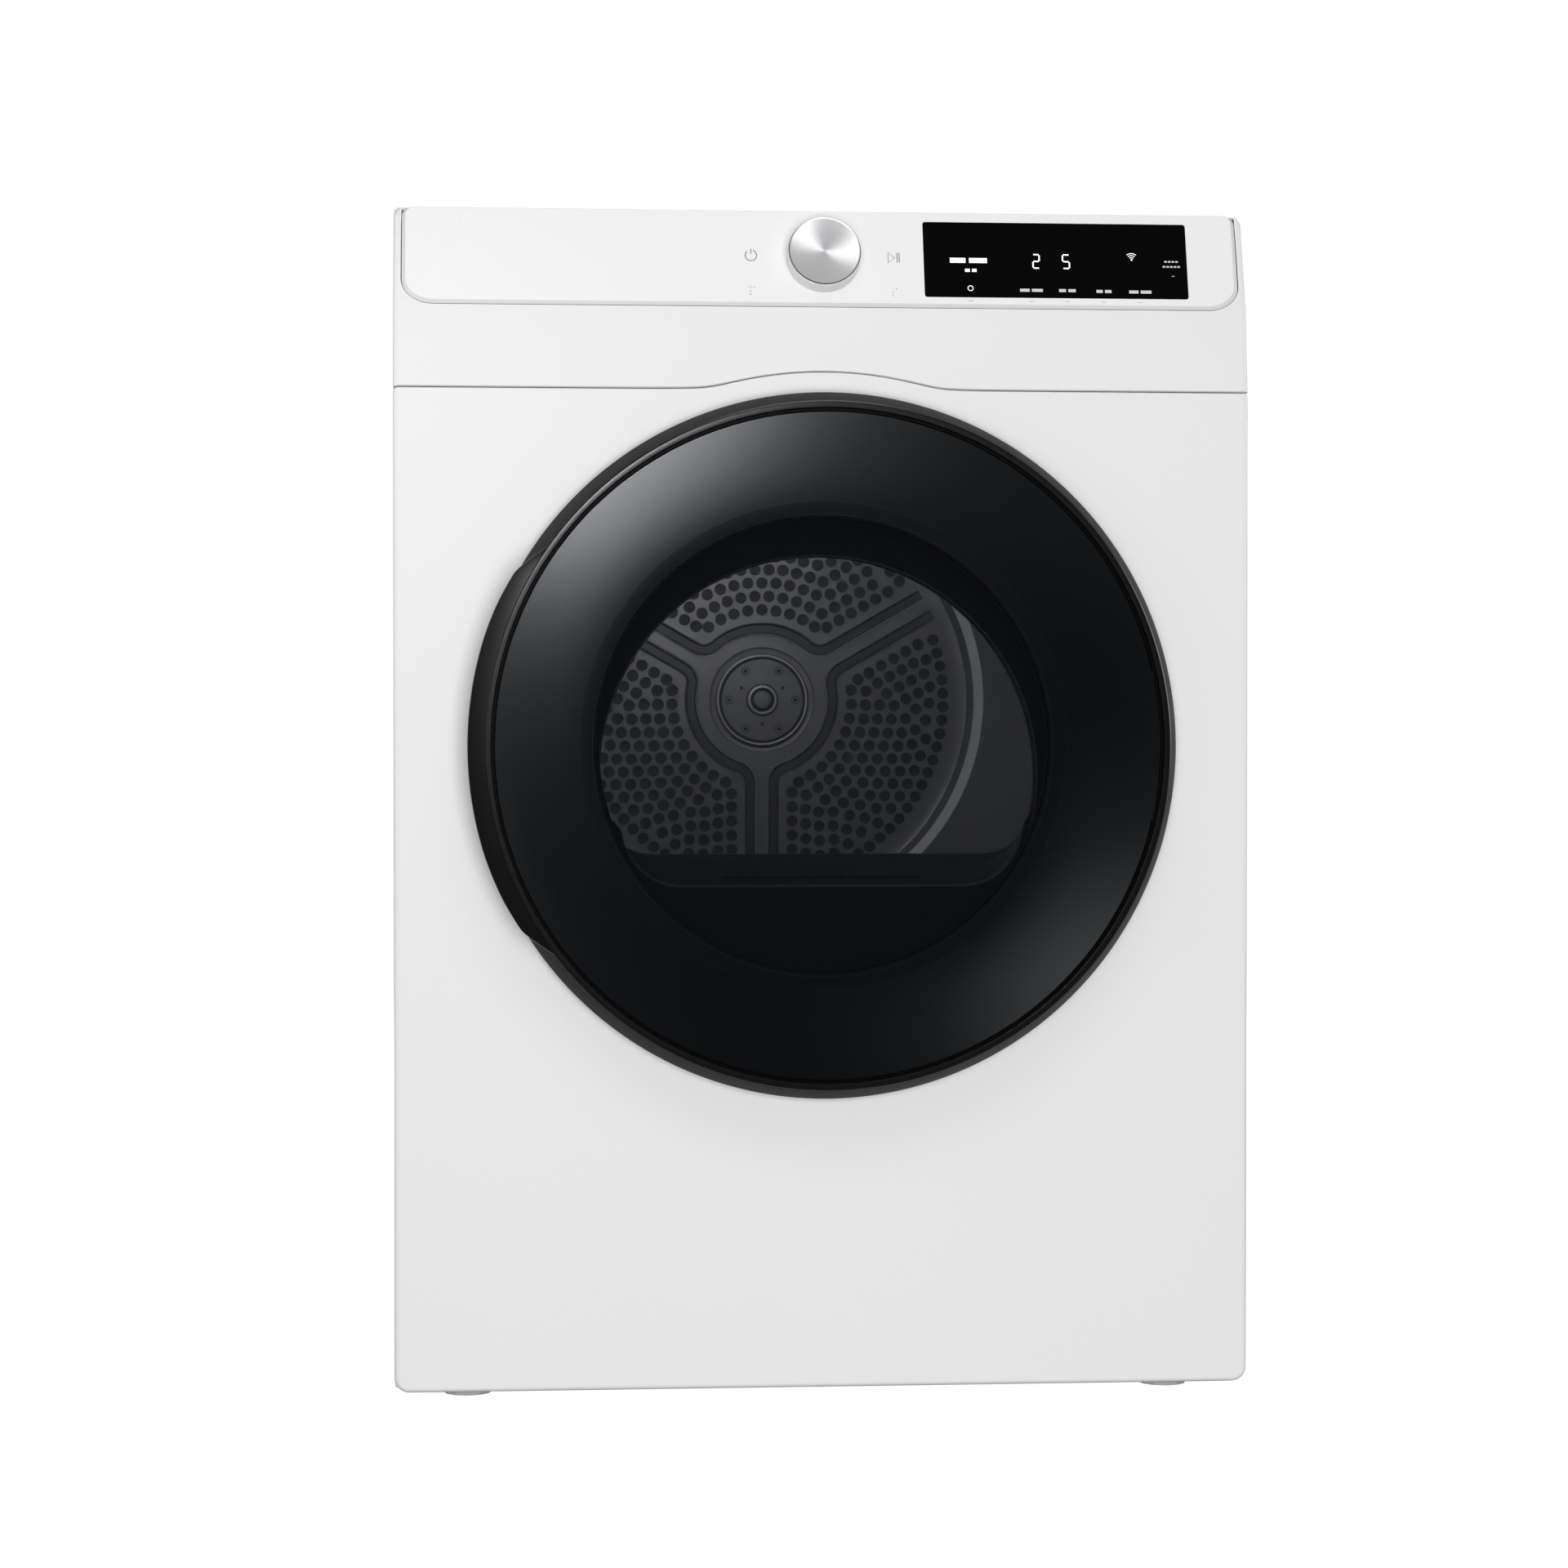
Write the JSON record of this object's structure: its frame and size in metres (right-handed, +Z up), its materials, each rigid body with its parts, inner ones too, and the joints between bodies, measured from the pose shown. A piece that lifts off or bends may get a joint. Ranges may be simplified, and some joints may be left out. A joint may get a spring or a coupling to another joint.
{
  "type": "front-load clothes dryer",
  "caption": "Free-standing white front-load clothes dryer with a round black side-hinged door, tumbling drum, sloping control panel with a turning knob, belt drive, blower and lint filter.",
  "frame": {"origin": "middle of the machine's footprint, on the floor the feet stand on", "axes": "+Z up; -Y is the front, with the door and the controls; +X is the user's right when facing the front"},
  "size_m": [0.686, 0.797, 0.955],
  "materials": {
    "white_steel": "gloss enamel",
    "white_plastic": "smooth white moulding",
    "galvanised": "zinc-coated sheet",
    "drum_steel": "stainless drum sheet",
    "aluminium": "turned and brushed",
    "black_gloss": "polished",
    "black_satin": "satin",
    "dark_plastic": "fine grain",
    "grey_plastic": "fine grain",
    "smoked_glass": "tinted, clear",
    "rubber": "matt",
    "felt": "pressed felt",
    "board_green": "solder mask",
    "heater_wire": "oxidised resistance wire"
  },
  "bodies": {
    "cabinet": {"front_panel": "white_steel", "side_panel_left": "white_steel", "side_panel_right": "white_steel", "top_cover": "white_steel", "rear_panel": "galvanised", "rear_duct_cover": "galvanised", "base_pan": "galvanised", "front_trim": "white_plastic", "control_panel": "white_plastic", "display_window": "black_gloss", "display_board": "board_green", "control_case": "grey_plastic", "knob_encoder": "grey_plastic", "front_bulkhead": "dark_plastic", "drum_front_seal": "felt", "rear_shroud": "galvanised", "drum_rear_seal": "felt", "bearing_carrier": "galvanised", "drum_bearing": "grey_plastic", "drum_lamp": "smoked_glass", "moisture_sensor": "aluminium", "drive_belt": "rubber", "motor_body": "galvanised", "motor_saddle": "galvanised", "idler_arm": "galvanised", "blower_housing": "grey_plastic", "lint_duct": "dark_plastic", "exhaust_pipe": "galvanised", "heater_case": "galvanised", "heater_coil": "heater_wire", "terminal_block": "dark_plastic", "hinge_bracket": "galvanised", "latch_box": "dark_plastic", "switch_body": "grey_plastic"},
    "door": {"door_side_ring": "black_satin", "door_rim": "black_satin", "door_dish": "black_gloss", "door_inner_frame": "dark_plastic", "door_window": "smoked_glass", "door_seal": "rubber", "hinge_leaf": "galvanised", "hinge_pin": "aluminium"},
    "drum": {"drum_shell": "drum_steel", "drum_back": "drum_steel", "drum_hub": "aluminium", "drum_lifter_1": "dark_plastic", "drum_lifter_2": "dark_plastic", "drum_lifter_3": "dark_plastic"},
    "knob": {"knob_body": "white_plastic", "knob_cap": "aluminium"},
    "lint_filter": {"lint_filter_frame": "dark_plastic", "lint_filter_screen": "grey_plastic"},
    "plunger": {"switch_plunger": "white_plastic"},
    "rotor": {"motor_shaft": "aluminium", "blower_wheel": "dark_plastic"},
    "idler_wheel": {"idler_pulley": "dark_plastic"},
    "foot_fl": {"foot_front_left": "dark_plastic"},
    "foot_fr": {"foot_front_right": "dark_plastic"},
    "foot_rl": {"foot_rear_left": "dark_plastic"},
    "foot_rr": {"foot_rear_right": "dark_plastic"}
  },
  "joints": [
    {"name": "door_hinge", "type": "hinge", "parent": "cabinet", "child": "door", "pos_m": [0.2635, -0.3765, 0.524], "axis": [0, 0, 1], "range_deg": [0, 130]},
    {"name": "drum_spin", "type": "hinge", "parent": "cabinet", "child": "drum", "pos_m": [0, 0, 0.567], "axis": [0, 1, 0], "continuous": true},
    {"name": "motor_spin", "type": "hinge", "parent": "cabinet", "child": "rotor", "pos_m": [0.085, 0, 0.125], "axis": [0, 1, 0], "continuous": true},
    {"name": "idler_spin", "type": "hinge", "parent": "cabinet", "child": "idler_wheel", "pos_m": [-0.06, 0, 0.165], "axis": [0, 1, 0], "continuous": true},
    {"name": "knob_turn", "type": "hinge", "parent": "cabinet", "child": "knob", "pos_m": [0, -0.3331, 0.9138], "axis": [0, -0.9588, 0.284], "continuous": true},
    {"name": "filter_pull", "type": "slide", "parent": "cabinet", "child": "lint_filter", "axis": [0, 0, 1], "range_m": [0, 0.2]},
    {"name": "switch_press", "type": "slide", "parent": "cabinet", "child": "plunger", "axis": [0, 1, 0], "range_m": [0, 0.004], "stiffness_N_per_m": 300},
    {"name": "foot_fl_screw", "type": "slide", "parent": "cabinet", "child": "foot_fl", "axis": [0, 0, -1], "range_m": [0, 0.03]},
    {"name": "foot_fr_screw", "type": "slide", "parent": "cabinet", "child": "foot_fr", "axis": [0, 0, -1], "range_m": [0, 0.03]},
    {"name": "foot_rl_screw", "type": "slide", "parent": "cabinet", "child": "foot_rl", "axis": [0, 0, -1], "range_m": [0, 0.03]},
    {"name": "foot_rr_screw", "type": "slide", "parent": "cabinet", "child": "foot_rr", "axis": [0, 0, -1], "range_m": [0, 0.03]}
  ],
  "couplings": [
    {"joint": "motor_spin", "follows": "drum_spin", "ratio": 29.273},
    {"joint": "idler_spin", "follows": "drum_spin", "ratio": 16.1}
  ]
}
